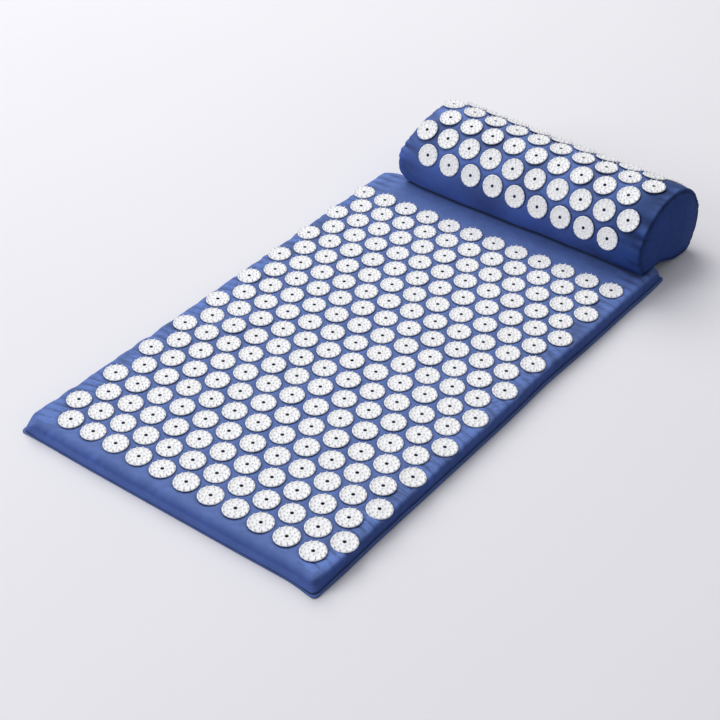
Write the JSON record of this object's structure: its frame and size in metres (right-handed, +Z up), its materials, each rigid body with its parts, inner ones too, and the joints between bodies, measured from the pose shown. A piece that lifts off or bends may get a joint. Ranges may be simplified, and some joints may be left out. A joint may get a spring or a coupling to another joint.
{
  "type": "acupressure mat",
  "caption": "Foam acupressure mat in a cotton cover with rows of spiked plastic discs, and its loose neck pillow lying on one end.",
  "frame": {"origin": "middle of the mat's flat underside, at the surface that it lies on", "axes": "+Y along the mat towards the head end where the pillow lies, +X towards its right-hand side, +Z up"},
  "size_m": [0.4206, 0.7652, 0.1138],
  "materials": {
    "cotton_cloth": "plain woven cotton, matt",
    "polyurethane_foam": "open-cell foam, hidden in the covers",
    "abs_plastic": "white moulded plastic with a soft gloss",
    "zip_tape": "woven polyester tape",
    "nylon_coil": "nylon zip coil",
    "zinc_alloy": "die-cast zinc with a satin plating"
  },
  "bodies": {
    "mat": {"mat_foam_slab": "polyurethane_foam", "mat_cover_top": "cotton_cloth", "mat_cover_base": "cotton_cloth", "mat_disc_row_01": "abs_plastic", "mat_disc_row_02": "abs_plastic", "mat_disc_row_03": "abs_plastic", "mat_disc_row_04": "abs_plastic", "mat_disc_row_05": "abs_plastic", "mat_disc_row_06": "abs_plastic", "mat_disc_row_07": "abs_plastic", "mat_disc_row_08": "abs_plastic", "mat_disc_row_09": "abs_plastic", "mat_disc_row_10": "abs_plastic", "mat_disc_row_11": "abs_plastic", "mat_disc_row_12": "abs_plastic", "mat_disc_row_13": "abs_plastic", "mat_disc_row_14": "abs_plastic", "mat_disc_row_15": "abs_plastic", "mat_disc_row_16": "abs_plastic", "mat_disc_row_17": "abs_plastic", "mat_disc_row_18": "abs_plastic", "mat_disc_row_19": "abs_plastic", "mat_disc_row_20": "abs_plastic", "mat_zip_tape_high": "zip_tape", "mat_zip_tape_low": "zip_tape", "mat_zip_coil_high": "nylon_coil", "mat_zip_coil_low": "nylon_coil", "mat_zip_stop_closed": "zinc_alloy", "mat_zip_stop_open": "zinc_alloy"},
    "pillow": {"pillow_foam_core": "polyurethane_foam", "pillow_cover_wrap": "cotton_cloth", "pillow_cover_base": "cotton_cloth", "pillow_end_left": "cotton_cloth", "pillow_end_right": "cotton_cloth", "pillow_disc_row_1": "abs_plastic", "pillow_disc_row_2": "abs_plastic", "pillow_disc_row_3": "abs_plastic", "pillow_disc_row_4": "abs_plastic", "pillow_disc_row_5": "abs_plastic", "pillow_disc_row_6": "abs_plastic", "pillow_disc_row_7": "abs_plastic", "pillow_zip_tape_high": "zip_tape", "pillow_zip_tape_low": "zip_tape", "pillow_zip_coil_high": "nylon_coil", "pillow_zip_coil_low": "nylon_coil", "pillow_zip_stop_closed": "zinc_alloy", "pillow_zip_stop_open": "zinc_alloy"},
    "mat_zip_slider": {"mat_zip_slider": "zinc_alloy"},
    "mat_zip_pull": {"mat_zip_pull": "zinc_alloy"},
    "pillow_zip_slider": {"pillow_zip_slider": "zinc_alloy"},
    "pillow_zip_pull": {"pillow_zip_pull": "zinc_alloy"}
  },
  "joints": [
    {"name": "pillow_lift", "type": "slide", "parent": "mat", "child": "pillow", "axis": [0, 0, 1], "range_m": [0, 0.15]},
    {"name": "mat_zip_slide", "type": "slide", "parent": "mat", "child": "mat_zip_slider", "axis": [-0.0221, -0.9998, 0], "range_m": [0, 0.2844]},
    {"name": "mat_zip_pull_turn", "type": "hinge", "parent": "mat_zip_slider", "child": "mat_zip_pull", "pos_m": [-0.20072, 0.14225, 0.01112], "axis": [-0.3395, 0.0075, -0.9406], "range_deg": [0, 170]},
    {"name": "pillow_zip_slide", "type": "slide", "parent": "pillow", "child": "pillow_zip_slider", "axis": [-0.999, 0.0436, 0], "range_m": [0, 0.2244]},
    {"name": "pillow_zip_pull_turn", "type": "hinge", "parent": "pillow_zip_slider", "child": "pillow_zip_pull", "pos_m": [0.13357, 0.41583, 0.0172], "axis": [-0.0181, -0.4147, -0.9098], "range_deg": [0, 170]}
  ]
}
